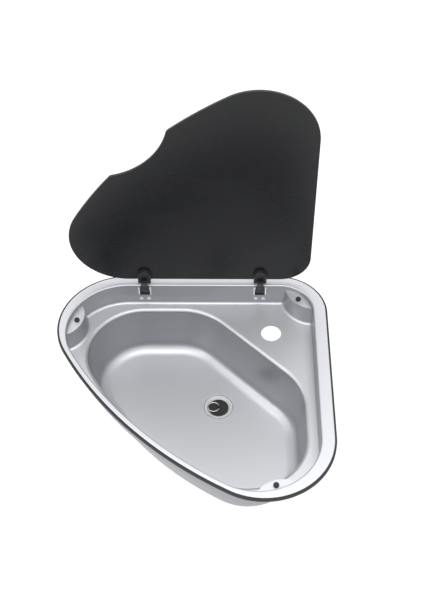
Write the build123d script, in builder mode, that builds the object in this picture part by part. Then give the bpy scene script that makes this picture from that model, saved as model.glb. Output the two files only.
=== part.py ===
# Corner sink for a caravan: a pressed stainless bowl with a flush glass lid on two hinges.
# Millimetres, Z up. The origin is the middle of the rim's square, on the worktop's top face.
# The plan is the same on both sides of the diagonal from the back right corner.
import os
from math import atan2, cos, degrees, radians, sin, sqrt

from build123d import *

os.makedirs("parts", exist_ok=True)

# Rim and sheet
rim_size = 440.0  # twice the distance of the rim's back and right sides from the origin
lobe_shortfall = 3.5  # how much less the lobes reach to the left and to the front
sheet = 0.8  # thickness of the pressed steel
rim_height = 6.0  # top of the flange above the worktop
rim_lobe_radius = 110.0
rim_front_radius = 647.0
rim_corner_radius = 78.0
seal_overhang = 3.0  # rubber outside the flange's edge
seal_width = 5.8
seal_drop = 1.2  # top of the rubber below the flange's top
seal_rounding = 0.7
edge_turn = 4.6  # height of the flange's turned-down edge
edge_rounding = 1.1

# Recess that takes the lid
flange_width = 23.1  # rubber included, along the back and the right
lobe_flange = 15.4  # the same past the ends of the recess
recess_lobe_radius = 96.0
recess_front_radius = 654.0
recess_corner_radius = 53.0
recess_mouth_radius = 2.5
ledge_depth = 42.0  # ledge below the flange's top
recess_foot_radius = 5.0

# Bosses in the three corners, each with a shelf that carries a lid bumper
shelf_depth = 9.0
boss_radius = 47.0
boss_spread = 4.0  # how much wider the boss is at its foot
boss_ledge = 11.6  # ledge between the basin and the foot of a lobe's boss
boss_offset = 28.0  # back boss's axis outside the recess's edge
boss_angle = 162.0  # direction of the left boss from its lobe's centre

# Basin
basin_depth = 128.0  # basin floor below the flange's top
basin_ledge = 17.9  # ledge along the back and the right
lobe_ledge = 31.8  # ledge past the ends of the basin
basin_lobe_radius = 92.0
basin_front_radius = 520.0
basin_bend_radius = 100.0
tap_ledge = 41.4  # between the tap hole's axis and the basin's straight side
basin_edge_radius = 6.0
floor_inset = 10.0  # draft of the back and right walls over their height
lobe_draft = 17.0  # the same at the ends of the basin
floor_lobe_radius = 80.0
floor_front_radius = 500.0
floor_bend_radius = 78.0
tap_draft = 15.9  # the same on the straight side
floor_radius = 20.0

# Holes in the sheet
tap_hole_diameter = 33.0
tap_hole_inset = 90.5  # from the rim's back and right edges
waste_inset = 80.5  # waste's axis in front of the basin's straight side
waste_recess_diameter = 47.4
waste_recess_depth = 2.4
waste_recess_edge = 0.9
waste_recess_foot = 0.5
waste_hole_diameter = 42.0

# Lid
glass = 4.0
lid_gap = 4.0  # between the glass and the recess, all round
lid_drop = 5.0  # underside of the closed glass below the flange's top
glass_rounding = 0.6
notch_radius = 114.0
notch_depth = 21.6  # at the middle of the lid's front edge
notch_corner_radius = 9.0
bumper_inset = 10.0  # bumper axis inside the recess's edge
bumper_gap = 0.25  # between a bumper and the closed glass
bumper_diameter = 8.5
bumper_stem_diameter = 4.0
bumper_barb_diameter = 5.2
bumper_barb_height = 2.6
bumper_rounding = 1.2

# Hinges
# Middle of each hinge, inside that end of the recess's straight back edge
hinge_insets = {"left": 25.1, "right": 32.4}
pivot_behind = 8.1  # hinge axis behind the recess's edge
pin_diameter = 3.0
pin_fit = 0.05
pin_head_step = 0.6
barrel_diameter = 7.2
arm_width = 15.4
neck_width = 9.5
neck_top = 9.5  # above the flange
neck_crown = 2.0  # chamfer over the neck's front
neck_fall = 0.6  # slope of the neck's top
arm_front = 15.0  # front of the arm, ahead of the hinge axis
arm_back = 9.0  # back of its upright part
arm_shoulder = 1.4  # top of the wide front above the flange
arm_waist = 4.5  # the same at the back, below the flange
arm_toe = 9.0  # foot of the upright front, below the flange
arm_toe_rise = 1.6
arm_toe_back = 1.5
arm_roof = 6.2  # upper face of the level part, below the flange
arm_roof_back = 1.8
arm_root = 2.0  # where the level part meets the barrel, ahead of its axis
flare_top = 7.4  # where the neck begins to widen, above the flange
flare_depth = 3.0
cup_width = 21.0
cup_thickness = 3.6
cup_rise = 2.2  # middle of the cup's round end above the screw
cup_wall_gap = 0.3  # between the closed cup and the bracket's ears
swing_margin = 0.3  # room cut round the hinge axis, past the foot of the cup
cup_dish_edge = 2.2  # rim round the dished face
cup_dish_depth = 0.5
cup_foot_gap = 10.5
cup_rounding = 1.2
screw_recess_diameter = 9.5
screw_recess_depth = 2.4
screw_channel_width = 8.4  # from the screw's recess down to the neck
screw_clearance = 0.2
lip_depth = 1.6  # how far the cup's feet reach under the glass
glass_hole_diameter = 8.0
glass_hole_inset = 9.5
pad = 3.4  # rubber disc between the cup and the glass
pad_diameter = 23.0
cap_pad = 1.0  # rubber under the cap on the outer face
cap_diameter = 22.0
cap_thickness = 4.0
cap_rounding = 1.2
insert_diameter = 6.0
insert_length = 3.0
screw_diameter = 4.0
screw_head_diameter = 7.5
screw_head_height = 2.2
screw_head_rounding = 0.6
screw_slot = 1.0
screw_slot_length = 4.4
screw_slot_turn = 45.0
washer_thickness = 0.5
washer_diameter = 6.8
washer_gap = 0.1
bracket_sheet = 1.2
slot_width = 20.4
slot_top = 3.2  # below the flange's top
slot_bottom = 22.8
slot_corner_radius = 1.5
bracket_front = 0.3  # how far the bracket's ears stand out of the wall
bracket_depth = 12.1  # back of the ears behind the wall's face
bracket_headroom = 0.8  # between the ears and the flange above
bracket_foot_rise = 0.3  # its foot's top edge above the slot's lower edge
bracket_foot_bottom = 37.0
ear_edge_gap = 0.6  # between the ears' fronts and the slot's ends
ear_neck = 0.5  # upright stretch of the ears behind the wall
ear_slope = 1.8
ear_foot_depth = 5.0
liner_thickness = 1.6  # black strip at the slot's foot, under the arm's path
liner_depth = 11.0
liner_rounding = 0.5
rivet_height = 30.6  # rivet row below the flange's top
rivet_spacing = 12.6
rivet_diameter = 3.2
rivet_head_diameter = 7.0
rivet_head_height = 1.2
rivet_head_edge = 0.3
rivet_dimple_diameter = 2.4  # end of the drawn mandrel
rivet_dimple_depth = 0.7
rivet_tail_diameter = 3.8
rivet_tail_height = 1.6

# Waste
waste_flange_diameter = 46.0
waste_flange_thickness = 1.2
waste_flange_rounding = 0.4
waste_seal_thickness = 1.0
waste_seal_inset = 0.4
waste_throat_diameter = 31.0
waste_seat_diameter = 34.0  # foot of the dish, where the plug's flat seat begins
waste_cup_diameter = 41.2  # under the flange, where it passes the hole in the floor
waste_cup_wall = 1.6
waste_dish_diameter = 42.0
waste_dish_depth = 4.0
waste_cup_depth = 20.0
waste_grid = 1.6
grid_hole_diameter = 4.5
grid_hole_circle = 20.0
grid_hole_count = 8
waste_screw_diameter = 6.0
waste_screw_head_diameter = 11.0
waste_screw_head_height = 2.5
waste_screw_rounding = 0.8
waste_screw_slot = 1.4
waste_screw_turn = 30.0
waste_gasket_thickness = 3.0
waste_body_diameter = 54.0
waste_body_wall = 2.5
waste_body_depth = 26.0
waste_funnel_depth = 9.0
tail_diameter = 25.0
tail_bore = 19.0
tail_length = 36.0
tail_barbs = 3
tail_barb_height = 1.0  # root of a barb inside the tail's plain surface
tail_barb_pitch = 6.0
spider_width = 4.0
spider_lift = 0.5  # above the body's floor
spider_height = 6.0
spider_hub_diameter = 12.0

# Plug
plug_top = 2.0  # below the waste flange's top
plug_diameter = 33.0
plug_gap = 0.5  # between the plug's stem and the throat
plug_height = 9.0
plug_straight = 1.4
plug_foot_diameter = 27.0
plug_rounding = 0.5
lug_offset = 1.0  # ring's hole right of the plug's middle
lug_thickness = 3.0
lug_wall = 1.2
lug_root = 0.5  # how far the lug is sunk in the plug
ring_radius = 9.0
ring_wire = 1.8
ring_play = 0.4
ring_rest = 0.3  # between the lying ring and the plug's top

mouth_room = 5.0  # room above the flange, for the cut only

# Places worked out from the sizes above
rim_side = rim_size / 2
rim_top = rim_height
recess_side = rim_side - flange_width
rim_reach = rim_side - lobe_shortfall
recess_reach = rim_reach - lobe_flange
recess_bend = recess_side - recess_corner_radius  # right end of the straight back edge
ledge_z = rim_top - ledge_depth
shelf_z = rim_top - shelf_depth
floor_z = rim_top - basin_depth
tap_place = rim_side - tap_hole_inset
basin_side = recess_side - basin_ledge
basin_reach = recess_reach - lobe_ledge
basin_cut = 2 * tap_place - sqrt(2) * tap_ledge  # x + y along the straight side
floor_side = basin_side - floor_inset
floor_reach = basin_reach - lobe_draft
floor_cut = basin_cut - sqrt(2) * tap_draft
waste_x = basin_cut / 2 - waste_inset * sqrt(0.5)  # the same in y
hinge_positions = {
    "left": recess_lobe_radius - recess_reach + hinge_insets["left"],
    "right": recess_bend - hinge_insets["right"],
}
pivot_y = recess_side + pivot_behind
pivot_z = rim_top - lid_drop
lid_side = recess_side - lid_gap
glass_hole_y = lid_side - glass_hole_inset
waste_seat_z = floor_z - waste_recess_depth
waste_top_z = waste_seat_z + waste_seal_thickness + waste_flange_thickness


def front_centre(side, reach, lobe_radius, front_radius):
    # Both coordinates of the centre of an outline's flat front arc.
    lobe_x = lobe_radius - reach
    lobe_y = side - lobe_radius
    arc_gap = front_radius - lobe_radius
    return (lobe_x + lobe_y + sqrt(2 * arc_gap**2 - (lobe_x - lobe_y) ** 2)) / 2


def sink_outline(side, reach, lobe_radius, front_radius, corner_radius, cut=None, grow=0.0):
    # Closed plan outline: straight back and right sides at `side`, round lobes that end at
    # -reach, one flat arc between them, and a back corner that is round or cut off straight.
    # grow moves the whole outline outwards.
    lobe_x = lobe_radius - reach
    lobe_y = side - lobe_radius
    arc_centre = front_centre(side, reach, lobe_radius, front_radius)
    meet = 180 + degrees(atan2(arc_centre - lobe_y, arc_centre - lobe_x))
    edge = side + grow
    bend = side - corner_radius
    with BuildLine() as outline:
        CenterArc((lobe_x, lobe_y), lobe_radius + grow, 90, meet - 90)
        CenterArc((arc_centre, arc_centre), front_radius + grow, meet, 450 - 2 * meet)
        CenterArc((lobe_y, lobe_x), lobe_radius + grow, 450 - meet, meet - 90)
        if cut is None:
            Line((edge, lobe_x), (edge, bend))
            CenterArc((bend, bend), corner_radius + grow, 0, 90)
            Line((bend, edge), (lobe_x, edge))
        else:
            turn = cut - side + corner_radius * (1 - sqrt(2))
            Line((edge, lobe_x), (edge, turn))
            lower_bend = CenterArc((bend, turn), corner_radius + grow, 0, 45)
            upper_bend = CenterArc((turn, bend), corner_radius + grow, 45, 45)
            Line(lower_bend @ 1, upper_bend @ 0)
            Line((turn, edge), (lobe_x, edge))
    return outline.edges()


def rim_outline(inset=0.0):
    return sink_outline(
        rim_side, rim_reach, rim_lobe_radius, rim_front_radius, rim_corner_radius, grow=-inset
    )


def recess_outline(grow=0.0):
    return sink_outline(
        recess_side,
        recess_reach,
        recess_lobe_radius,
        recess_front_radius,
        recess_corner_radius,
        grow=grow,
    )


def corner_places(lobe_distance, corner_distance):
    # One point towards each corner's boss: in the lobes and in the back corner it lies this
    # far from the middle of the recess's rounding.
    lobe_x = recess_lobe_radius - recess_reach
    lobe_y = recess_side - recess_lobe_radius
    across = lobe_distance * cos(radians(boss_angle))
    along = lobe_distance * sin(radians(boss_angle))
    back = corner_distance * sqrt(0.5)
    return {
        "left": (lobe_x + across, lobe_y + along),
        "back": (recess_bend + back, recess_bend + back),
        "front": (lobe_y + along, lobe_x + across),
    }


def bumper_places():
    return corner_places(recess_lobe_radius - bumper_inset, recess_corner_radius - bumper_inset)


def boss_places():
    # A lobe's boss stands off the basin's own lobe, past a named width of ledge.
    shift_x = recess_lobe_radius - recess_reach - basin_lobe_radius + basin_reach
    shift_y = recess_side - recess_lobe_radius - basin_side + basin_lobe_radius
    along = shift_x * cos(radians(boss_angle)) + shift_y * sin(radians(boss_angle))
    stand_off = basin_lobe_radius + boss_ledge + boss_radius + boss_spread
    lobe_distance = sqrt(along**2 + stand_off**2 - shift_x**2 - shift_y**2) - along
    return corner_places(lobe_distance, recess_corner_radius + boss_offset)


def pressed_form(grow):
    # The room inside the pressing, from the basin's floor to over the flange, grown outwards
    # through the sheet.
    with BuildPart() as basin:
        with BuildSketch(Plane.XY.offset(ledge_z)):
            make_face(
                sink_outline(
                    basin_side,
                    basin_reach,
                    basin_lobe_radius,
                    basin_front_radius,
                    basin_bend_radius,
                    cut=basin_cut,
                    grow=grow,
                )
            )
        with BuildSketch(Plane.XY.offset(floor_z - grow)):
            make_face(
                sink_outline(
                    floor_side,
                    floor_reach,
                    floor_lobe_radius,
                    floor_front_radius,
                    floor_bend_radius,
                    cut=floor_cut,
                    grow=grow,
                )
            )
        loft()
        fillet(basin.faces().sort_by(Axis.Z)[0].edges(), floor_radius + grow)
    with BuildPart() as form:
        with BuildSketch(Plane.XY.offset(rim_top)):
            make_face(recess_outline(grow))
        extrude(amount=-(ledge_depth + grow))
        for x, y in boss_places().values():
            with Locations((x, y, ledge_z - grow)):
                Cone(
                    boss_radius + boss_spread - grow,
                    boss_radius - grow,
                    shelf_z - ledge_z,
                    align=(Align.CENTER, Align.CENTER, Align.MIN),
                    mode=Mode.SUBTRACT,
                )
        fillet(form.edges().group_by(Axis.Z)[0], recess_foot_radius + grow)
        add(basin.part)
        ledge = form.faces().filter_by(Plane.XY).filter_by_position(
            Axis.Z, ledge_z - grow - 0.01, ledge_z - grow + 0.01
        )[0]
        fillet(ledge.inner_wires()[0].edges(), basin_edge_radius - grow)
        with BuildSketch(Plane.XY.offset(rim_top - grow)):
            make_face(rim_outline(seal_overhang))
        extrude(amount=mouth_room + grow)
        mouth = form.faces().filter_by(Plane.XY).filter_by_position(
            Axis.Z, rim_top - grow - 0.01, rim_top - grow + 0.01
        )[0]
        fillet(mouth.inner_wires()[0].edges(), recess_mouth_radius - grow)
        with Locations((waste_x, waste_x, floor_z - grow)):
            Cylinder(
                waste_recess_diameter / 2 + grow,
                waste_recess_depth,
                align=(Align.CENTER, Align.CENTER, Align.MAX),
            )
        seat = form.faces().sort_by(Axis.Z)[0]
        fillet(seat.edges(), waste_recess_foot + grow)
        floor = form.faces().filter_by(Plane.XY).filter_by_position(
            Axis.Z, floor_z - grow - 0.01, floor_z - grow + 0.01
        )[0]
        fillet(floor.inner_wires()[0].edges(), waste_recess_edge - grow)
    return form.part


def wall_plane(behind):
    # Upright plane that faces the front, this far behind the recess's back edge.
    return Plane.XZ.offset(-(recess_side + behind))


def lid_plane(height):
    # Plane with the closed lid's plan coordinates, at this closed height above the worktop.
    # The lid stands upright here, a quarter turn open about the hinge axis.
    return Plane(
        origin=(0, pivot_y + height - pivot_z, pivot_z + pivot_y),
        x_dir=(1, 0, 0),
        z_dir=(0, 1, 0),
    )


# Pressed bowl: flange, recess, ledge, corner bosses and basin in one sheet
inner_form = pressed_form(0.0)
outer_form = pressed_form(sheet)

with BuildPart() as sink_bowl:
    add(outer_form)
    with BuildSketch(Plane.XY.offset(rim_top)):
        make_face(rim_outline(seal_overhang))
        make_face(rim_outline(seal_overhang + sheet), mode=Mode.SUBTRACT)
    extrude(amount=-edge_turn)
    add(inner_form, mode=Mode.SUBTRACT)
    flange = sink_bowl.faces().filter_by(Plane.XY).sort_by(Axis.Z)[-1]
    fillet(flange.outer_wire().edges(), edge_rounding)
    with Locations((tap_place, tap_place, ledge_z)):
        Cylinder(tap_hole_diameter / 2, 4 * sheet, mode=Mode.SUBTRACT)
    with Locations((waste_x, waste_x, waste_seat_z)):
        Cylinder(waste_hole_diameter / 2, 4 * sheet, mode=Mode.SUBTRACT)
    for x, y in bumper_places().values():
        with Locations((x, y, shelf_z)):
            Cylinder(bumper_stem_diameter / 2, 4 * sheet, mode=Mode.SUBTRACT)
    for x in hinge_positions.values():
        with BuildSketch(wall_plane(0)):
            with Locations((x, rim_top - (slot_top + slot_bottom) / 2)):
                RectangleRounded(slot_width, slot_bottom - slot_top, slot_corner_radius)
            with Locations((x, rim_top - rivet_height)):
                with GridLocations(rivet_spacing, 0, 2, 1):
                    Circle(rivet_diameter / 2)
        extrude(amount=2 * sheet, both=True, mode=Mode.SUBTRACT)
sink_bowl.part.label = "sink_bowl"

# Rubber strip on the flange's turned-down edge
with BuildPart() as rim_seal:
    with BuildSketch():
        make_face(rim_outline())
        make_face(rim_outline(seal_width), mode=Mode.SUBTRACT)
    extrude(amount=rim_top - seal_drop)
    outer_edges = rim_seal.faces().filter_by(Plane.XY).sort_by(Axis.Z)[-1].outer_wire().edges()
    fillet(outer_edges, seal_rounding)
    with BuildSketch(Plane.XY.offset(rim_top)):
        make_face(rim_outline(seal_overhang))
        make_face(rim_outline(seal_overhang + sheet), mode=Mode.SUBTRACT)
    extrude(amount=-edge_turn, mode=Mode.SUBTRACT)
rim_seal.part.label = "rim_seal"

# Rubber bumpers on the three shelves
bumpers = []
for place, (x, y) in bumper_places().items():
    with BuildPart() as bumper:
        with Locations((x, y, shelf_z)):
            Cylinder(
                bumper_diameter / 2,
                shelf_depth - lid_drop - bumper_gap,
                align=(Align.CENTER, Align.CENTER, Align.MIN),
            )
            fillet(bumper.faces().sort_by(Axis.Z)[-1].edges(), bumper_rounding)
            Cylinder(
                bumper_stem_diameter / 2,
                sheet,
                align=(Align.CENTER, Align.CENTER, Align.MAX),
            )
        with Locations((x, y, shelf_z - sheet)):
            Cone(
                bumper_stem_diameter / 4,
                bumper_barb_diameter / 2,
                bumper_barb_height,
                align=(Align.CENTER, Align.CENTER, Align.MAX),
            )
    bumper.part.label = "bumper_" + place
    bumpers.append(bumper.part)

# Glass lid, upright, with a finger notch in its front edge
lid_arc = front_centre(recess_side, recess_reach, recess_lobe_radius, recess_front_radius)
notch_edge = lid_arc * sqrt(2) - recess_front_radius + lid_gap + notch_depth
notch_centre = (notch_radius - notch_edge) * sqrt(0.5)  # left of and in front of the origin
with BuildPart() as lid_glass:
    with BuildSketch(lid_plane(pivot_z)) as lid_face:
        make_face(recess_outline(-lid_gap))
        with Locations((-notch_centre, -notch_centre)):
            Circle(notch_radius, mode=Mode.SUBTRACT)
        notch_corners = lid_face.vertices().filter_by(
            lambda corner: abs(
                (Vector(corner) + Vector(notch_centre, notch_centre)).length - notch_radius
            )
            < 0.01
        )
        fillet(notch_corners, notch_corner_radius)
        for x in hinge_positions.values():
            with Locations((x, glass_hole_y)):
                Circle(glass_hole_diameter / 2, mode=Mode.SUBTRACT)
    extrude(amount=glass)
    glass_faces = lid_glass.faces().filter_by(Plane.XZ)
    fillet([edge for face in glass_faces for edge in face.outer_wire().edges()], glass_rounding)
lid_glass.part.label = "lid_glass"


def turned(hinge_x, radius, low, high, hole=0.0):
    # Round piece or ring about the clamp screw, between two closed heights of the lid.
    with BuildPart() as piece:
        with BuildSketch(lid_plane(low)):
            with Locations((hinge_x, glass_hole_y)):
                Circle(radius)
                if hole:
                    Circle(hole, mode=Mode.SUBTRACT)
        extrude(amount=high - low)
    return piece


def side_profile(points):
    # Closed outline in the hinge's side view, given from the hinge axis.
    with BuildLine() as profile:
        Polyline([(pivot_y + y, pivot_z + z) for y, z in points], close=True)
    return profile.edges()


flange_above = rim_top - pivot_z
cup_front = pad + cup_thickness
cup_low = pivot_z - cup_front
cup_base = pivot_behind + bracket_front + cup_wall_gap  # above the hinge axis
cup_centre_y = glass_hole_y - cup_rise
swing_radius = sqrt(cup_base**2 + pad**2) + swing_margin
glass_top = pivot_z + glass
cap_base = glass_top + cap_pad
glass_foot = pivot_z + pivot_y - lid_side
barrel_radius = barrel_diameter / 2
ear_inside = arm_width / 2 + washer_thickness + washer_gap
ear_outside = ear_inside + bracket_sheet
foot_top = slot_bottom - bracket_foot_rise
wall_face = -pivot_behind
wall_back = sheet - pivot_behind
ear_front = wall_face - bracket_front
ear_low = flange_above - slot_bottom + ear_edge_gap
ear_high = flange_above - slot_top - ear_edge_gap
ear_top = flange_above - sheet - bracket_headroom
hinge_pieces = []
for side, hinge_x in hinge_positions.items():
    # Arm: barrel on the pin, swan neck round the flange's edge and cup against the glass
    with BuildPart() as hinge_arm:
        with BuildSketch(lid_plane(cup_low)):
            with Locations((hinge_x, cup_centre_y)):
                Circle(cup_width / 2)
                Rectangle(
                    cup_width,
                    pivot_y - cup_base - cup_centre_y,
                    align=(Align.CENTER, Align.MIN),
                )
            with Locations((hinge_x, pivot_y - cup_base)):
                Rectangle(
                    cup_foot_gap,
                    flange_above + neck_top - cup_base,
                    align=(Align.CENTER, Align.MAX),
                    mode=Mode.SUBTRACT,
                )
        extrude(amount=cup_thickness)
        fillet(hinge_arm.faces().sort_by(Axis.Y)[0].edges(), cup_rounding)
        with BuildSketch(lid_plane(cup_low)):
            with Locations((hinge_x, cup_centre_y)):
                Circle(cup_width / 2 - cup_dish_edge)
        extrude(amount=cup_dish_depth, mode=Mode.SUBTRACT)
        with BuildSketch(wall_plane(pivot_behind - pad)):
            with Locations((hinge_x, glass_foot)):
                Rectangle(cup_width, glass_foot, align=(Align.CENTER, Align.MAX))
        extrude(amount=-(pad + lip_depth))
        with BuildSketch(Plane.YZ.offset(hinge_x - neck_width / 2)):
            make_face(
                side_profile(
                    [
                        (-arm_front, flange_above - arm_waist),
                        (-arm_front, flange_above + neck_top - neck_crown),
                        (-arm_front + neck_crown, flange_above + neck_top - neck_fall),
                        (-cup_front, flange_above + neck_top),
                        (-pad, flange_above + neck_top),
                        (-pad, flange_above - arm_waist),
                    ]
                )
            )
        extrude(amount=neck_width)
        with BuildSketch(Plane.YZ.offset(hinge_x - cup_width)):
            with Locations((pivot_y, pivot_z)):
                Circle(swing_radius)
                Rectangle(
                    2 * arm_front,
                    swing_radius,
                    align=(Align.CENTER, Align.MAX),
                )
        extrude(amount=2 * cup_width, mode=Mode.SUBTRACT)
        with BuildSketch(wall_plane(pivot_behind - arm_front)):
            Polygon(
                (hinge_x - arm_width / 2, rim_top + arm_shoulder),
                (hinge_x + arm_width / 2, rim_top + arm_shoulder),
                (hinge_x + neck_width / 2, rim_top + flare_top),
                (hinge_x - neck_width / 2, rim_top + flare_top),
                align=None,
            )
        extrude(amount=-flare_depth)
        with BuildSketch(Plane.YZ.offset(hinge_x - arm_width / 2)):
            make_face(
                side_profile(
                    [
                        (-arm_front, flange_above + arm_shoulder),
                        (-arm_front, flange_above - arm_toe),
                        (-arm_front + arm_toe_back, flange_above - arm_toe - arm_toe_rise),
                        (-arm_root, -barrel_radius),
                        (-arm_root, flange_above - arm_roof),
                        (-arm_back + arm_roof_back, flange_above - arm_roof),
                        (-arm_back, flange_above - arm_waist),
                        (-arm_front + flare_depth, flange_above + arm_shoulder),
                    ]
                )
            )
            with Locations((pivot_y, pivot_z)):
                Circle(barrel_radius)
        extrude(amount=arm_width)
        with BuildSketch(Plane.YZ.offset(hinge_x - arm_width / 2)):
            with Locations((pivot_y, pivot_z)):
                Circle(pin_diameter / 2 + pin_fit)
        extrude(amount=arm_width, mode=Mode.SUBTRACT)
        with BuildSketch(lid_plane(cup_low)):
            with Locations((hinge_x, glass_hole_y)):
                Circle(screw_recess_diameter / 2)
                Rectangle(
                    screw_channel_width,
                    pivot_y - flange_above - neck_top - glass_hole_y,
                    align=(Align.CENTER, Align.MIN),
                )
        extrude(amount=screw_recess_depth, mode=Mode.SUBTRACT)
        with BuildSketch(lid_plane(cup_low)):
            with Locations((hinge_x, glass_hole_y)):
                Circle(screw_diameter / 2 + screw_clearance)
        extrude(amount=cup_thickness, mode=Mode.SUBTRACT)
    hinge_arm.part.label = "hinge_arm_" + side

    # Rubber pads on both faces of the glass, and the sleeve in its hole
    with BuildPart() as cup_pad:
        with BuildSketch(lid_plane(pivot_z - pad)):
            with Locations((hinge_x, cup_centre_y)):
                Circle(pad_diameter / 2)
            with Locations((hinge_x, glass_hole_y)):
                Circle(screw_diameter / 2 + screw_clearance, mode=Mode.SUBTRACT)
        extrude(amount=pad)
    cup_pad.part.label = "hinge_pad_" + side
    outer_pad = turned(
        hinge_x, cap_diameter / 2, glass_top, cap_base, screw_diameter / 2 + screw_clearance
    )
    outer_pad.part.label = "cap_pad_" + side
    bush = turned(
        hinge_x,
        glass_hole_diameter / 2 - screw_clearance / 2,
        pivot_z,
        glass_top,
        screw_diameter / 2 + screw_clearance,
    )
    bush.part.label = "glass_bush_" + side

    # Cap on the outer face with its threaded insert, and the clamp screw
    with BuildPart() as hinge_cap:
        add(turned(hinge_x, cap_diameter / 2, cap_base, cap_base + cap_thickness).part)
        fillet(hinge_cap.faces().sort_by(Axis.Y)[-1].edges(), cap_rounding)
        with BuildSketch(lid_plane(cap_base)):
            with Locations((hinge_x, glass_hole_y)):
                Circle(insert_diameter / 2)
        extrude(amount=insert_length, mode=Mode.SUBTRACT)
    hinge_cap.part.label = "hinge_cap_" + side
    insert = turned(
        hinge_x, insert_diameter / 2, cap_base, cap_base + insert_length, screw_diameter / 2
    )
    insert.part.label = "cap_insert_" + side
    with BuildPart() as clamp_screw:
        head_seat = cup_low + screw_recess_depth
        head_low = head_seat - screw_head_height
        add(turned(hinge_x, screw_head_diameter / 2, head_low, head_seat).part)
        add(turned(hinge_x, screw_diameter / 2, head_seat, cap_base + insert_length).part)
        fillet(clamp_screw.faces().sort_by(Axis.Y)[0].edges(), screw_head_rounding)
        with BuildSketch(lid_plane(head_low)):
            with Locations((hinge_x, glass_hole_y)):
                Rectangle(screw_slot_length, screw_slot, rotation=screw_slot_turn)
                Rectangle(screw_slot, screw_slot_length, rotation=screw_slot_turn)
        extrude(amount=screw_head_height / 2, mode=Mode.SUBTRACT)
    clamp_screw.part.label = "clamp_screw_" + side

    # Bracket behind the wall, with two ears that carry the pin
    with BuildPart() as bracket:
        for ear_x in (hinge_x - ear_outside, hinge_x + ear_inside):
            with BuildSketch(Plane.YZ.offset(ear_x)):
                make_face(
                    side_profile(
                        [
                            (ear_front, ear_low),
                            (ear_front, ear_high),
                            (wall_back + ear_neck, ear_high),
                            (wall_back + ear_neck + ear_slope, ear_top),
                            (wall_face + bracket_depth, ear_top),
                            (wall_face + bracket_depth, flange_above - slot_bottom / 2),
                            (wall_back + ear_foot_depth, flange_above - bracket_foot_bottom),
                            (wall_back, flange_above - bracket_foot_bottom),
                            (wall_back, ear_low),
                        ]
                    )
                )
                with Locations((pivot_y, pivot_z)):
                    Circle(pin_diameter / 2, mode=Mode.SUBTRACT)
            extrude(amount=bracket_sheet)
        with BuildSketch(wall_plane(sheet)):
            with Locations((hinge_x, rim_top - foot_top)):
                Rectangle(
                    2 * ear_outside,
                    bracket_foot_bottom - foot_top,
                    align=(Align.CENTER, Align.MAX),
                )
            with Locations((hinge_x, rim_top - rivet_height)):
                with GridLocations(rivet_spacing, 0, 2, 1):
                    Circle(rivet_diameter / 2, mode=Mode.SUBTRACT)
        extrude(amount=-bracket_sheet)
    bracket.part.label = "hinge_bracket_" + side

    # Black strip between the ears that closes the slot's foot under the arm's path
    with BuildPart() as liner:
        with BuildSketch(Plane.YZ.offset(hinge_x - ear_inside)):
            with Locations((pivot_y + ear_front, rim_top - foot_top)):
                Rectangle(liner_depth, liner_thickness, align=(Align.MIN, Align.MIN))
        extrude(amount=2 * ear_inside)
        front_edge = liner.edges().filter_by(Axis.X).group_by(Axis.Y)[0].sort_by(Axis.Z)[-1]
        fillet(front_edge, liner_rounding)
    liner.part.label = "hinge_liner_" + side

    # Pin, washers beside the barrel, and the rivets
    with BuildPart() as hinge_pin:
        with BuildSketch(Plane.YZ.offset(hinge_x - ear_outside)):
            with Locations((pivot_y, pivot_z)):
                Circle(pin_diameter / 2)
        extrude(amount=2 * ear_outside)
        for end_x, direction in ((hinge_x - ear_outside, -1), (hinge_x + ear_outside, 1)):
            with BuildSketch(Plane.YZ.offset(end_x)):
                with Locations((pivot_y, pivot_z)):
                    Circle(pin_diameter / 2 + pin_head_step)
            extrude(amount=direction * pin_head_step)
    hinge_pin.part.label = "hinge_pin_" + side
    with BuildPart() as washers:
        inner_face = arm_width / 2 + washer_gap / 2
        for washer_x in (hinge_x + inner_face, hinge_x - inner_face - washer_thickness):
            with BuildSketch(Plane.YZ.offset(washer_x)):
                with Locations((pivot_y, pivot_z)):
                    Circle(washer_diameter / 2)
                    Circle(pin_diameter / 2, mode=Mode.SUBTRACT)
            extrude(amount=washer_thickness)
    washers.part.label = "pin_washers_" + side
    with BuildPart() as rivets:
        with BuildSketch(wall_plane(0)):
            with Locations((hinge_x, rim_top - rivet_height)):
                with GridLocations(rivet_spacing, 0, 2, 1):
                    Circle(rivet_head_diameter / 2)
        extrude(amount=rivet_head_height)
        fillet(rivets.faces().sort_by(Axis.Y)[0:2].edges(), rivet_head_height - rivet_head_edge)
        with BuildSketch(wall_plane(-rivet_head_height)):
            with Locations((hinge_x, rim_top - rivet_height)):
                with GridLocations(rivet_spacing, 0, 2, 1):
                    Circle(rivet_dimple_diameter / 2)
        extrude(amount=-rivet_dimple_depth, mode=Mode.SUBTRACT)
        with BuildSketch(wall_plane(0)):
            with Locations((hinge_x, rim_top - rivet_height)):
                with GridLocations(rivet_spacing, 0, 2, 1):
                    Circle(rivet_diameter / 2)
        extrude(amount=-(sheet + bracket_sheet))
        with BuildSketch(wall_plane(sheet + bracket_sheet)):
            with Locations((hinge_x, rim_top - rivet_height)):
                with GridLocations(rivet_spacing, 0, 2, 1):
                    Circle(rivet_tail_diameter / 2)
        extrude(amount=-rivet_tail_height)
    rivets.part.label = "rivets_" + side
    hinge_pieces += [
        piece.part
        for piece in (
            hinge_arm,
            cup_pad,
            outer_pad,
            bush,
            hinge_cap,
            insert,
            clamp_screw,
            bracket,
            liner,
            hinge_pin,
            washers,
            rivets,
        )
    ]


def waste_profile(points):
    # Half section of a round piece of the waste: radius, then height from the flange's top.
    with BuildLine() as profile:
        Polyline([(radius, waste_top_z + height) for radius, height in points], close=True)
    return profile.edges()


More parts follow.
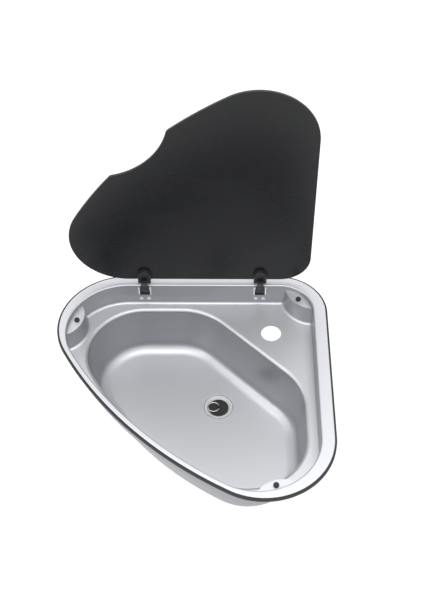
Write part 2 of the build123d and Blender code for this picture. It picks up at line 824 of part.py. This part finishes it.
waste_axis = Axis((waste_x, waste_x, 0), (0, 0, 1))
waste_plane = Plane(origin=(waste_x, waste_x, 0), x_dir=(1, 0, 0), z_dir=(0, -1, 0))
flange_r = waste_flange_diameter / 2
throat_r = waste_throat_diameter / 2
dish_r = waste_dish_diameter / 2
dish_foot_r = waste_seat_diameter / 2
cup_r = waste_cup_diameter / 2
strainer_r = throat_r + waste_cup_wall
under_floor = waste_seat_z - sheet - waste_top_z
body_top = under_floor - waste_gasket_thickness
body_low = body_top - waste_body_depth
funnel_low = body_low - waste_funnel_depth
tail_low = funnel_low - tail_length
body_r = waste_body_diameter / 2
tail_r = tail_diameter / 2

# Waste flange with its strainer grid
with BuildPart() as waste_flange:
    with BuildSketch(waste_plane):
        make_face(
            waste_profile(
                [
                    (0, -waste_cup_depth),
                    (strainer_r, -waste_cup_depth),
                    (strainer_r, -waste_dish_depth - waste_cup_wall),
                    (cup_r, -waste_flange_thickness - waste_seal_thickness),
                    (cup_r, -waste_flange_thickness),
                    (flange_r, -waste_flange_thickness),
                    (flange_r, 0),
                    (dish_r, 0),
                    (dish_foot_r, -waste_dish_depth),
                    (throat_r, -waste_dish_depth),
                    (throat_r, waste_grid - waste_cup_depth),
                    (0, waste_grid - waste_cup_depth),
                ]
            )
        )
    revolve(axis=waste_axis)
    fillet(waste_flange.faces().sort_by(Axis.Z)[-1].edges(), waste_flange_rounding)
    with BuildSketch(Plane.XY.offset(waste_top_z - waste_cup_depth)):
        with Locations((waste_x, waste_x)):
            Circle(waste_screw_diameter / 2)
            with PolarLocations(grid_hole_circle / 2, grid_hole_count):
                Circle(grid_hole_diameter / 2)
    extrude(amount=waste_grid, mode=Mode.SUBTRACT)
waste_flange.part.label = "waste_flange"


def waste_ring(outer, inner, low, high):
    with BuildPart() as ring:
        with BuildSketch(Plane.XY.offset(waste_top_z + low)):
            with Locations((waste_x, waste_x)):
                Circle(outer)
                Circle(inner, mode=Mode.SUBTRACT)
        extrude(amount=high - low)
    return ring


waste_seal = waste_ring(
    flange_r - waste_seal_inset,
    waste_hole_diameter / 2,
    -waste_flange_thickness - waste_seal_thickness,
    -waste_flange_thickness,
)
waste_seal.part.label = "waste_seal"
waste_gasket = waste_ring(body_r, waste_hole_diameter / 2, body_top, under_floor)
waste_gasket.part.label = "waste_gasket"

# Waste body under the floor, with a spider for the screw and a hose tail
with BuildPart() as waste_body:
    tail_points = [(tail_r, funnel_low)]
    for barb in range(tail_barbs, 0, -1):
        tail_points += [
            (tail_r, tail_low + barb * tail_barb_pitch),
            (tail_r - tail_barb_height, tail_low + (barb - 1) * tail_barb_pitch),
        ]
    with BuildSketch(waste_plane):
        make_face(
            waste_profile(
                [(body_r, body_top), (body_r, body_low)]
                + tail_points
                + [
                    (tail_bore / 2, tail_low),
                    (tail_bore / 2, funnel_low),
                    (body_r - waste_body_wall, body_low + waste_body_wall),
                    (body_r - waste_body_wall, body_top),
                ]
            )
        )
    revolve(axis=waste_axis)
    spider_low = body_low + waste_body_wall + spider_lift
    with BuildSketch(Plane.XY.offset(waste_top_z + spider_low)):
        with Locations((waste_x, waste_x)):
            Rectangle(2 * body_r - waste_body_wall, spider_width)
            Rectangle(spider_width, 2 * body_r - waste_body_wall)
            Circle(spider_hub_diameter / 2)
            Circle(waste_screw_diameter / 2, mode=Mode.SUBTRACT)
    extrude(amount=spider_height)
waste_body.part.label = "waste_body"

# Screw that draws the body up against the flange
with BuildPart() as waste_screw:
    head_z = waste_top_z + waste_grid - waste_cup_depth
    with Locations((waste_x, waste_x, head_z)):
        Cylinder(
            waste_screw_head_diameter / 2,
            waste_screw_head_height,
            align=(Align.CENTER, Align.CENTER, Align.MIN),
        )
        fillet(waste_screw.faces().sort_by(Axis.Z)[-1].edges(), waste_screw_rounding)
        Cylinder(
            waste_screw_diameter / 2,
            waste_grid - waste_cup_depth - spider_low,
            align=(Align.CENTER, Align.CENTER, Align.MAX),
        )
    with BuildSketch(Plane.XY.offset(head_z + waste_screw_head_height)):
        with Locations((waste_x, waste_x)):
            Rectangle(waste_screw_head_diameter, waste_screw_slot, rotation=waste_screw_turn)
    extrude(amount=-waste_screw_head_height / 2, mode=Mode.SUBTRACT)
waste_screw.part.label = "waste_screw"

# Rubber plug with a lug, and its pull ring
disc_r = plug_diameter / 2
stem_r = throat_r - plug_gap
ring_lift = ring_wire / 2 + ring_rest
ring_z = waste_top_z - plug_top + ring_lift
lug_hole_r = ring_wire / 2 + ring_play
with BuildPart() as plug:
    with BuildSketch(waste_plane):
        make_face(
            waste_profile(
                [
                    (0, -plug_top - plug_height),
                    (plug_foot_diameter / 2, -plug_top - plug_height),
                    (stem_r, -waste_dish_depth - plug_straight),
                    (stem_r, -waste_dish_depth),
                    (disc_r, -waste_dish_depth),
                    (disc_r, -plug_top),
                    (0, -plug_top),
                ]
            )
        )
    revolve(axis=waste_axis)
    fillet(plug.faces().sort_by(Axis.Z)[-1].edges(), plug_rounding)
    with BuildSketch(
        Plane(
            origin=(waste_x + lug_offset, waste_x - lug_thickness / 2, ring_z),
            x_dir=(1, 0, 0),
            z_dir=(0, -1, 0),
        )
    ):
        Circle(lug_hole_r + lug_wall)
        Rectangle(
            2 * (lug_hole_r + lug_wall),
            ring_lift + lug_root,
            align=(Align.CENTER, Align.MAX),
        )
        Circle(lug_hole_r, mode=Mode.SUBTRACT)
    extrude(amount=-lug_thickness)
plug.part.label = "plug"

with BuildPart() as plug_ring:
    with Locations((waste_x + lug_offset - ring_radius, waste_x, ring_z)):
        Torus(ring_radius, ring_wire / 2)
plug_ring.part.label = "plug_ring"

pieces = [sink_bowl.part, rim_seal.part, lid_glass.part, *bumpers, *hinge_pieces]
pieces += [
    waste_flange.part,
    waste_seal.part,
    waste_gasket.part,
    waste_body.part,
    waste_screw.part,
    plug.part,
    plug_ring.part,
]
for piece in pieces:
    export_step(piece, "parts/" + piece.label + ".step")
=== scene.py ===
import math

import bpy
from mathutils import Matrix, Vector


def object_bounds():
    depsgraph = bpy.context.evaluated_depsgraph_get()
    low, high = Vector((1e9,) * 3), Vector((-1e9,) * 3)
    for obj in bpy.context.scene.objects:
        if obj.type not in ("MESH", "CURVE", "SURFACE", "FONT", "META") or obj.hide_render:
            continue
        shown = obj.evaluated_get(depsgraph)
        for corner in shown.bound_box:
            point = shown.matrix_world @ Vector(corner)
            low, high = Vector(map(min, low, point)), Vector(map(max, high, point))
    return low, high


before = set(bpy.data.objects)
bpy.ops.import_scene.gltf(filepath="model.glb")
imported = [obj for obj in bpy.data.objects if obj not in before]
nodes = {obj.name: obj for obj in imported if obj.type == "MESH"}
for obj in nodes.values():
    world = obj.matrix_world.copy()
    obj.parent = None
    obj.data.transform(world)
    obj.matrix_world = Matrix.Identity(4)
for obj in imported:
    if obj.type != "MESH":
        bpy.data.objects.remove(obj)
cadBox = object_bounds()
print("frame loaded,", len(nodes), "nodes")


# Shader graphs: a Wire is one output socket, so maths on it reads as an expression

class Wire:
    def __init__(self, graph, socket):
        self.graph = graph
        self.socket = socket

    def maths(self, operation, *values, clamp=False):
        return self.graph.add(
            "ShaderNodeMath",
            {"operation": operation, "use_clamp": clamp},
            dict(enumerate(values)),
        )

    def __add__(self, other):
        return self.maths("ADD", self, other)

    def __radd__(self, other):
        return self.maths("ADD", other, self)

    def __sub__(self, other):
        return self.maths("SUBTRACT", self, other)

    def __rsub__(self, other):
        return self.maths("SUBTRACT", other, self)

    def __mul__(self, other):
        return self.maths("MULTIPLY", self, other)

    def __rmul__(self, other):
        return self.maths("MULTIPLY", other, self)

    def __abs__(self):
        return self.maths("ABSOLUTE", self)

    def centred(self):  # noise, made to swing about 0
        return self - 0.5

    def clamped(self):
        return self.maths("ADD", self, 0.0, clamp=True)

    def ramp(self, low, high):  # 0 below low, 1 above high, smooth between
        return self.graph.add(
            "ShaderNodeMapRange",
            {"interpolation_type": "SMOOTHSTEP"},
            {"Value": self, "From Min": low, "From Max": high},
        )

    def part(self, axis):  # one component of a vector
        return self.graph.add("ShaderNodeSeparateXYZ", {}, {"Vector": self}, take=axis)


class Graph:
    def __init__(self, name, tree=None):
        if tree is None:  # a new material, and otherwise the tree that is given
            self.material = bpy.data.materials.new(name)
            self.material.use_nodes = True
            tree = self.material.node_tree
        self.tree = tree
        self.tree.nodes.clear()

    def add(self, kind, settings=None, sockets=None, take=0):  # take names the output
        node = self.tree.nodes.new(kind)
        for key, value in (settings or {}).items():
            setattr(node, key, value)
        for key, value in (sockets or {}).items():
            if isinstance(value, Wire):
                self.tree.links.new(value.socket, node.inputs[key])
            else:
                node.inputs[key].default_value = value
        return Wire(self, node.outputs[take]) if node.outputs else None

    def place(self):  # the piece's own coordinates, in metres, which ride with its body
        return self.add("ShaderNodeTexCoord", take="Object")

    def facing(self):  # the surface's own normal, in the piece's coordinates
        return self.add("ShaderNodeTexCoord", take="Normal")

    def seen(self):  # 1 for rays from the camera, from gloss and through glass
        kinds = ("Is Camera Ray", "Is Glossy Ray", "Is Transmission Ray")
        camera, glossy, through = [self.add("ShaderNodeLightPath", take=kind) for kind in kinds]
        return (camera + glossy + through).clamped()

    def noise(self, vector, scale, detail=2.0, roughness=0.5):
        if isinstance(scale, tuple):  # stretched, with a scale for each axis
            vector = self.add(
                "ShaderNodeVectorMath", {"operation": "MULTIPLY"}, {0: vector, 1: scale}
            )
            scale = 1.0
        return self.add(
            "ShaderNodeTexNoise",
            {},
            {"Vector": vector, "Scale": scale, "Detail": detail, "Roughness": roughness},
        )

    def blend(self, factor, first, second):
        # Colours, so through a Mix node, which has them on sockets 6 and 7 and output 2
        return self.add(
            "ShaderNodeMix",
            {"data_type": "RGBA"},
            {0: factor, 6: shade(first), 7: shade(second)},
            take=2,
        )

    def bump(self, height, distance):
        return self.add("ShaderNodeBump", {}, {"Height": height, "Distance": distance})

    def surface(self, **sockets):  # Base_Color is the shader's socket Base Color
        named = {key.replace("_", " "): value for key, value in sockets.items()}
        shader = self.add("ShaderNodeBsdfPrincipled", {}, named)
        self.add("ShaderNodeOutputMaterial", {}, {"Surface": shader})
        return self.material


def shade(value):  # a wire stays as it is, a grey or a colour gets its alpha
    if isinstance(value, Wire):
        return value
    return (value, value, value, 1.0) if isinstance(value, (int, float)) else (*value, 1.0)


# Finishes. A scale counts lines or specks per metre, with one number for each axis where
# they differ. Edges are where a mask starts and where it is full. Bumps are in metres.

steelLook = {
    "flat": (0.80, 0.81, 0.847),  # rolled faces that the press left alone
    "drawn": (0.36, 0.366, 0.39),  # painted shade: the walls, darker than the level faces
    "drawnLight": (0.55, 0.555, 0.58),  # the draw's own lines on the walls, in the same painted shade
    "flatRoughness": 0.42,
    "drawnRoughness": 0.31,
    "metal": 0.60,  # the rest is matt, for the satin
    "levelEdges": (0.25, 0.92),  # how level a face is, from a full wall to a full flat
    "grainScale": (60.0, 2600.0, 2600.0),  # the sheet was rolled along the hinge side
    "lineScale": (9.0, 9.0, 900.0),  # level lines round the walls
    "lineEdges": (0.3, 0.7),
    "lineShade": 0.16,
    "peelScale": 900.0,
    "cloudScale": 14.0,
    "cloudShade": 0.10,
    "grainGloss": 0.10,
    "lineGloss": 0.12,
    "grainHeight": 0.5,  # shares of the bump
    "peelHeight": 0.3,
    "lineHeight": 0.3,
    "bump": 0.000012,
}

bracketLook = {
    **steelLook,
    # painted shade on the bracket's walls, only a little darker than its level faces
    "drawn": (0.74, 0.74, 0.75),
    "drawnLight": (0.80, 0.80, 0.81),
    "drawnRoughness": 0.28,
}

# Waste flange: a near-white colour with little metal, as a painted highlight in place of its
# bright reflection
dishLook = {
    **steelLook,
    "flat": (0.97, 0.97, 0.98),
    "flatRoughness": 0.30,
    "drawn": (0.95, 0.95, 0.96),
    "drawnLight": (0.97, 0.97, 0.98),
    "metal": 0.10,
}


def pressedSteel(name, look):
    # Satin sheet: rolling grain and orange peel all over, level draw lines on the walls, and
    # painted shade that makes the walls darker than the level faces
    graph = Graph(name)
    place = graph.place()
    grain = graph.noise(place, look["grainScale"], detail=3.0)
    lines = graph.noise(place, look["lineScale"], detail=4.0, roughness=0.7)
    peel = graph.noise(place, look["peelScale"])
    clouds = graph.noise(place, look["cloudScale"], detail=3.0, roughness=0.6)
    # the walls' share, which takes the painted shade as well as their gloss and lines
    wall = 1 - abs(graph.facing().part("Z")).ramp(*look["levelEdges"])
    lined = lines.ramp(*look["lineEdges"]) * look["lineShade"]
    drawn = graph.blend(lined, look["drawn"], look["drawnLight"])
    # painted shade: walls darker than level faces, plus a cloudy tone that varies at random
    paintedShadeAndClouds = (wall + clouds.centred() * look["cloudShade"]).clamped()
    gloss = look["flatRoughness"] - wall * (look["flatRoughness"] - look["drawnRoughness"])
    grainGloss = grain.centred() * look["grainGloss"]
    lineGloss = lines.centred() * wall * look["lineGloss"]
    grainAndPeel = grain * look["grainHeight"] + peel * look["peelHeight"]
    height = grainAndPeel + lines * wall * look["lineHeight"]
    return graph.surface(
        Base_Color=graph.blend(paintedShadeAndClouds, look["flat"], drawn),
        Metallic=look["metal"],
        Roughness=gloss + grainGloss + lineGloss,
        Normal=graph.bump(height, look["bump"]),
    )


brightLook = {
    "colour": (0.80, 0.80, 0.82),
    "haze": (0.66, 0.66, 0.66),
    "hazeScale": 160.0,
    "roughness": 0.16,
    "scratchScale": (900.0, 5200.0, 2400.0),
    "scratchEdges": (0.5, 0.8),
    "scratchGloss": 0.10,
    "bump": 0.000006,
}

blackenedLook = {
    **brightLook,
    "colour": (0.05, 0.05, 0.052),
    "haze": (0.09, 0.09, 0.09),
    "roughness": 0.30,
}


def brightSteel(name, look):
    # Drawn wire and turned heads: bright, with fine handling scratches
    graph = Graph(name)
    place = graph.place()
    scratches = graph.noise(place, look["scratchScale"], detail=4.0, roughness=0.7)
    haze = graph.noise(place, look["hazeScale"])
    scratched = scratches.ramp(*look["scratchEdges"]) * look["scratchGloss"]
    return graph.surface(
        Base_Color=graph.blend(haze, look["colour"], look["haze"]),
        Metallic=1.0,
        Roughness=look["roughness"] + scratched,
        Normal=graph.bump(scratches, look["bump"]),
    )


brassLook = {
    "colour": (0.72, 0.52, 0.24),
    "groove": (0.55, 0.38, 0.16),
    "ringScale": (400.0, 9000.0, 400.0),  # turning marks round the insert's axis, along Y
    "ringGloss": 0.1,
    "roughness": 0.28,
    "bump": 0.00001,
}


def turnedBrass(name, look):
    graph = Graph(name)
    rings = graph.noise(graph.place(), look["ringScale"])
    return graph.surface(
        Base_Color=graph.blend(rings, look["colour"], look["groove"]),
        Metallic=1.0,
        Roughness=look["roughness"] + rings * look["ringGloss"],
        Normal=graph.bump(rings, look["bump"]),
    )


glassLook = {
    "colour": (0.010, 0.0105, 0.012),
    # painted highlight: the edge's colour is lighter than the faces
    "edge": (0.055, 0.070, 0.066),
    "roughness": 0.26,
    "edgeRoughness": 0.34,
    "faceEdges": (0.80, 0.97),  # how square to Y, from the ground edge to the polished face
    "wipeScale": (6.0, 6.0, 22.0),  # faint wiping marks in the gloss
    "wipeEdges": (0.45, 0.8),
    "wipeGloss": 0.06,
    "groundScale": 3000.0,
    "refraction": 1.42,
    "bump": 0.00001,
}


def tintedGlass(name, look):
    # Dark lid: polished faces, and a ground edge whose lighter colour is a painted highlight
    graph = Graph(name)
    place = graph.place()
    face = abs(graph.facing().part("Y")).ramp(*look["faceEdges"])
    wiped = graph.noise(place, look["wipeScale"], detail=4.0, roughness=0.6)
    ground = graph.noise(place, look["groundScale"])
    gloss = look["edgeRoughness"] - face * (look["edgeRoughness"] - look["roughness"])
    return graph.surface(
        Base_Color=graph.blend(face, look["edge"], look["colour"]),
        Roughness=gloss + wiped.ramp(*look["wipeEdges"]) * face * look["wipeGloss"],
        IOR=look["refraction"],
        Normal=graph.bump(ground * (1 - face), look["bump"]),
    )


plasticLook = {
    "colour": (0.022, 0.022, 0.024),
    "worn": (0.075, 0.075, 0.078),
    "roughness": 0.42,
    "cornerEdges": (0.52, 0.62),  # how sharp a corner is, from unworn to fully rubbed
    "rubScale": 260.0,
    "rubEdges": (0.35, 0.7),
    "rubShade": 0.7,
    "rubGloss": 0.08,
    "grainScale": 2600.0,
    "grainGloss": 0.16,
    "bump": 0.00004,
}


def mouldedPlastic(name, look):
    # Spark-grained black plastic, with corners rubbed a little lighter
    graph = Graph(name)
    place = graph.place()
    grain = graph.noise(place, look["grainScale"])
    corner = graph.add("ShaderNodeNewGeometry", take="Pointiness").ramp(*look["cornerEdges"])
    rub = corner * graph.noise(place, look["rubScale"], detail=3.0).ramp(*look["rubEdges"])
    grainGloss = grain.centred() * look["grainGloss"]
    return graph.surface(
        Base_Color=graph.blend(rub * look["rubShade"], look["colour"], look["worn"]),
        Roughness=look["roughness"] + grainGloss - rub * look["rubGloss"],
        Normal=graph.bump(grain, look["bump"]),
    )


rubberLook = {
    "colour": (0.024, 0.024, 0.025),
    "dust": (0.060, 0.059, 0.057),
    "roughness": 0.58,
    "dustScale": 55.0,
    "dustEdges": (0.45, 0.85),
    "dustShade": 0.5,
    "dustGloss": 0.12,
    "skinScale": 1700.0,
    "skinGloss": 0.1,
    "bump": 0.00003,
}

blackRubberLook = {**rubberLook, "colour": (0.022, 0.022, 0.023)}


def mouldedRubber(name, look):
    # Soft black rubber with a bloom of dust
    graph = Graph(name)
    place = graph.place()
    skin = graph.noise(place, look["skinScale"], detail=3.0)
    bloom = graph.noise(place, look["dustScale"], detail=4.0, roughness=0.65)
    dust = bloom.ramp(*look["dustEdges"])
    skinGloss = skin.centred() * look["skinGloss"]
    return graph.surface(
        Base_Color=graph.blend(dust * look["dustShade"], look["colour"], look["dust"]),
        Roughness=look["roughness"] + dust * look["dustGloss"] + skinGloss,
        Normal=graph.bump(skin, look["bump"]),
    )


finishes = {
    "pressedSteel": pressedSteel("pressed_steel", steelLook),
    "bracketSteel": pressedSteel("bracket_steel", bracketLook),
    "dishSteel": pressedSteel("dish_steel", dishLook),
    "brightSteel": brightSteel("bright_steel", brightLook),
    "blackSteel": brightSteel("black_steel", blackenedLook),
    "turnedBrass": turnedBrass("turned_brass", brassLook),
    "tintedGlass": tintedGlass("tinted_glass", glassLook),
    "mouldedPlastic": mouldedPlastic("moulded_plastic", plasticLook),
    "sealRubber": mouldedRubber("seal_rubber", rubberLook),
    "blackRubber": mouldedRubber("black_rubber", blackRubberLook),
}

nodeFinishes = {  # a name without its last word, such as left, covers the whole group
    "sink_bowl": "pressedSteel",
    "rim_seal": "sealRubber",
    "lid_glass": "tintedGlass",
    "bumper": "blackRubber",
    "hinge_arm": "mouldedPlastic",
    "hinge_cap": "mouldedPlastic",
    "hinge_liner": "mouldedPlastic",
    "hinge_pad": "blackRubber",
    "cap_pad": "blackRubber",
    "glass_bush": "mouldedPlastic",
    "cap_insert": "turnedBrass",
    "clamp_screw": "blackSteel",
    "hinge_bracket": "bracketSteel",
    "hinge_pin": "brightSteel",
    "pin_washers": "mouldedPlastic",
    "rivets": "brightSteel",
    "waste_flange": "dishSteel",
    "waste_seal": "blackRubber",
    "waste_gasket": "blackRubber",
    "waste_body": "mouldedPlastic",
    "waste_screw": "brightSteel",
    "plug": "blackRubber",
    "plug_ring": "brightSteel",
}
for name, node in nodes.items():
    finish = nodeFinishes.get(name) or nodeFinishes[name.rsplit("_", 1)[0]]
    node.data.materials.clear()
    node.data.materials.append(finishes[finish])
print("finishes on", len(nodes), "nodes")


# Studio: pale floor, white surroundings and soft lamps

floorLook = {
    "below": 0.02,  # under the sink's lowest point
    "size": 12.0,
    "colour": 0.82,
    "lift": 0.55,  # added to the floor where it is seen, so that it stays white
}


def paleFloor(look):
    half = look["size"] / 2
    low = cadBox[0].z - look["below"]
    mesh = bpy.data.meshes.new("floor")
    corners = [(-half, -half, low), (half, -half, low), (half, half, low), (-half, half, low)]
    mesh.from_pydata(corners, [], [(0, 1, 2, 3)])
    floor = bpy.data.objects.new("floor", mesh)
    bpy.context.scene.collection.objects.link(floor)
    graph = Graph("pale_floor")
    matt = graph.add("ShaderNodeBsdfDiffuse", {}, {"Color": shade(look["colour"])})
    glow = graph.seen() * look["lift"]
    lift = graph.add("ShaderNodeEmission", {}, {"Color": shade(1.0), "Strength": glow})
    both = graph.add("ShaderNodeAddShader", {}, {0: matt, 1: lift})
    graph.add("ShaderNodeOutputMaterial", {}, {"Surface": both})
    mesh.materials.append(graph.material)


surroundingsLook = {"light": 0.60}  # on matt surfaces, where 1 is a full white all round


def whiteSurroundings(look):
    world = bpy.data.worlds.new("studio")
    bpy.context.scene.world = world
    world.use_nodes = True
    graph = Graph("studio", world.node_tree)
    strength = look["light"] + graph.seen() * (1 - look["light"])
    sky = graph.add("ShaderNodeBackground", {}, {"Color": shade(1.0), "Strength": strength})
    graph.add("ShaderNodeOutputWorld", {}, {"Surface": sky})


lampLook = {  # places and sizes in metres, power in watts
    "overhead": {"at": (0.10, 0.0, 1.9), "size": 1.5, "power": 13.0},
    "left": {"at": (-1.6, -0.9, 1.3), "size": 0.9, "power": 5.0},
}


def softLamps(lamps):
    # Square lamps that point at the origin
    for name, lamp in lamps.items():
        light = bpy.data.lights.new("lamp_" + name, "AREA")
        light.shape = "SQUARE"
        light.size = lamp["size"]
        light.energy = lamp["power"]
        holder = bpy.data.objects.new("lamp_" + name, light)
        bpy.context.scene.collection.objects.link(holder)
        holder.location = lamp["at"]
        holder.rotation_euler = (-Vector(lamp["at"])).to_track_quat("-Z", "Y").to_euler()


paleFloor(floorLook)
whiteSurroundings(surroundingsLook)
softLamps(lampLook)
print("studio lit")


# Camera at the photo's place, solved from the rim's outline

cameraLook = {
    "at": (0.04652, -1.12203, 1.44056),  # metres
    "down": 48.1,  # degrees below the horizon
    "turn": 0.24,  # degrees to the left
    "lens": 70.51,  # millimetres
    "sensor": 36.0,  # millimetres
}


def photoCamera(look):
    optics = bpy.data.cameras.new("camera")
    optics.lens = look["lens"]
    optics.sensor_width = look["sensor"]
    camera = bpy.data.objects.new("camera", optics)
    bpy.context.scene.collection.objects.link(camera)
    camera.location = look["at"]
    camera.rotation_euler = (math.radians(90 - look["down"]), 0.0, math.radians(look["turn"]))
    bpy.context.scene.camera = camera


photoCamera(cameraLook)
bpy.context.scene.view_settings.view_transform = "Standard"
print("camera set")
